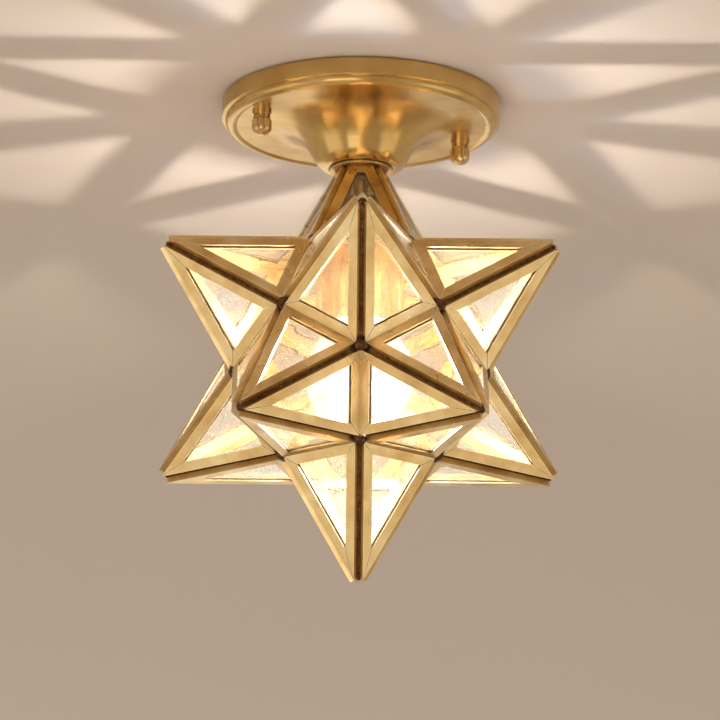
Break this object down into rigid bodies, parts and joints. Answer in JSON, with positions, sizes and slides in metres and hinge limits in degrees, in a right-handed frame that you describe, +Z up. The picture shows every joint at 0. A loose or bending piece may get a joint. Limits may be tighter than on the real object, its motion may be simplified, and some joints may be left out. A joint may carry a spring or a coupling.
{
  "type": "star semi-flush ceiling light",
  "caption": "Many-pointed star shade of clear glass in brass channel, hung on a short stem from a round spun canopy, with an opening point and a screw-cap bulb.",
  "frame": {"origin": "centre of the canopy's rim in the ceiling plane, which is also the middle of the two ceiling-screw holes", "axes": "+Z up into the ceiling, -Y the front in the picture, +X its right"},
  "size_m": [0.2022, 0.211, 0.2543],
  "materials": {
    "frame_brass": "folded channel, satin lacquer",
    "spun_brass": "spun and satin brushed",
    "cup_brass": "satin brushed",
    "nut_brass": "cast and polished",
    "hinge_brass": "stamped strip",
    "dark_solder": "solder with a black patina",
    "pane_glass": "clear, flat",
    "bulb_glass": "clear",
    "bulb_stem_glass": "clear",
    "tungsten": "drawn wire",
    "cap_aluminium": "rolled thread",
    "black_glass": "fused glass insulator",
    "cap_solder": "solder button",
    "zinc_steel": "zinc plated",
    "green_screw": "green earth screw",
    "white_nylon": "moulded",
    "porcelain": "glazed",
    "nickel_brass": "nickel-plated brass",
    "brown_lead": "insulation",
    "blue_lead": "insulation"
  },
  "bodies": {
    "lamp": {"bottom_point_frame": "frame_brass", "bottom_point_glass": "pane_glass", "canopy": "spun_brass", "canopy_studs": "zinc_steel", "ceiling_bar": "zinc_steel", "centre_contact": "nickel_brass", "cup_nut": "zinc_steel", "door_hinge_pin": "hinge_brass", "earth_screw": "green_screw", "front_upper_point_frame": "frame_brass", "front_upper_point_glass": "pane_glass", "lampholder": "porcelain", "left_front_lower_point_frame": "frame_brass", "left_front_lower_point_glass": "pane_glass", "left_lower_point_frame": "frame_brass", "left_lower_point_glass": "pane_glass", "left_rear_upper_point_frame": "frame_brass", "left_rear_upper_point_glass": "pane_glass", "left_upper_point_frame": "frame_brass", "left_upper_point_glass": "pane_glass", "live_lead": "brown_lead", "lock_washer": "zinc_steel", "neck_nut": "zinc_steel", "neck_plate": "zinc_steel", "neutral_lead": "blue_lead", "ridge_solder": "dark_solder", "right_front_lower_point_frame": "frame_brass", "right_front_lower_point_glass": "pane_glass", "right_lower_point_frame": "frame_brass", "right_lower_point_glass": "pane_glass", "right_rear_upper_point_frame": "frame_brass", "right_rear_upper_point_glass": "pane_glass", "right_upper_point_frame": "frame_brass", "right_upper_point_glass": "pane_glass", "screw_shell": "nickel_brass", "shell_terminal": "nickel_brass", "socket_cup": "cup_brass", "spacer_washer": "zinc_steel", "star_cap": "spun_brass", "star_hinge_leaf": "hinge_brass", "stem_tube": "spun_brass", "stud_lock_nuts": "zinc_steel", "terminal_block": "white_nylon", "threaded_tube": "zinc_steel", "top_point_frame": "frame_brass", "top_point_glass": "pane_glass", "valley_solder": "dark_solder"},
    "door_body": {"door_frame": "frame_brass", "door_glass": "pane_glass", "door_solder": "dark_solder", "door_hinge_leaf": "hinge_brass", "door_friction_tongues": "hinge_brass"},
    "bulb_body": {"bulb_glass": "bulb_glass", "bulb_stem": "bulb_stem_glass", "bulb_filament": "tungsten", "bulb_cap": "cap_aluminium", "bulb_insulator": "black_glass", "bulb_contact": "cap_solder"},
    "left_nut_body": {"left_ball_nut": "nut_brass"},
    "right_nut_body": {"right_ball_nut": "nut_brass"}
  },
  "joints": [
    {"name": "door_hinge", "type": "hinge", "parent": "lamp", "child": "door_body", "pos_m": [0.02084, 0.06415, -0.138], "axis": [0.809, -0.2629, -0.5257], "range_deg": [0, 105]},
    {"name": "bulb_unscrew", "type": "slide", "parent": "lamp", "child": "bulb_body", "axis": [0, 0, -1], "range_m": [0, 0.026]},
    {"name": "left_nut_spin", "type": "hinge", "parent": "lamp", "child": "left_nut_body", "pos_m": [-0.05063, -0.02149, -0.0125], "axis": [0, 0, 1], "continuous": true},
    {"name": "right_nut_spin", "type": "hinge", "parent": "lamp", "child": "right_nut_body", "pos_m": [0.05063, 0.02149, -0.0125], "axis": [0, 0, 1], "continuous": true}
  ]
}
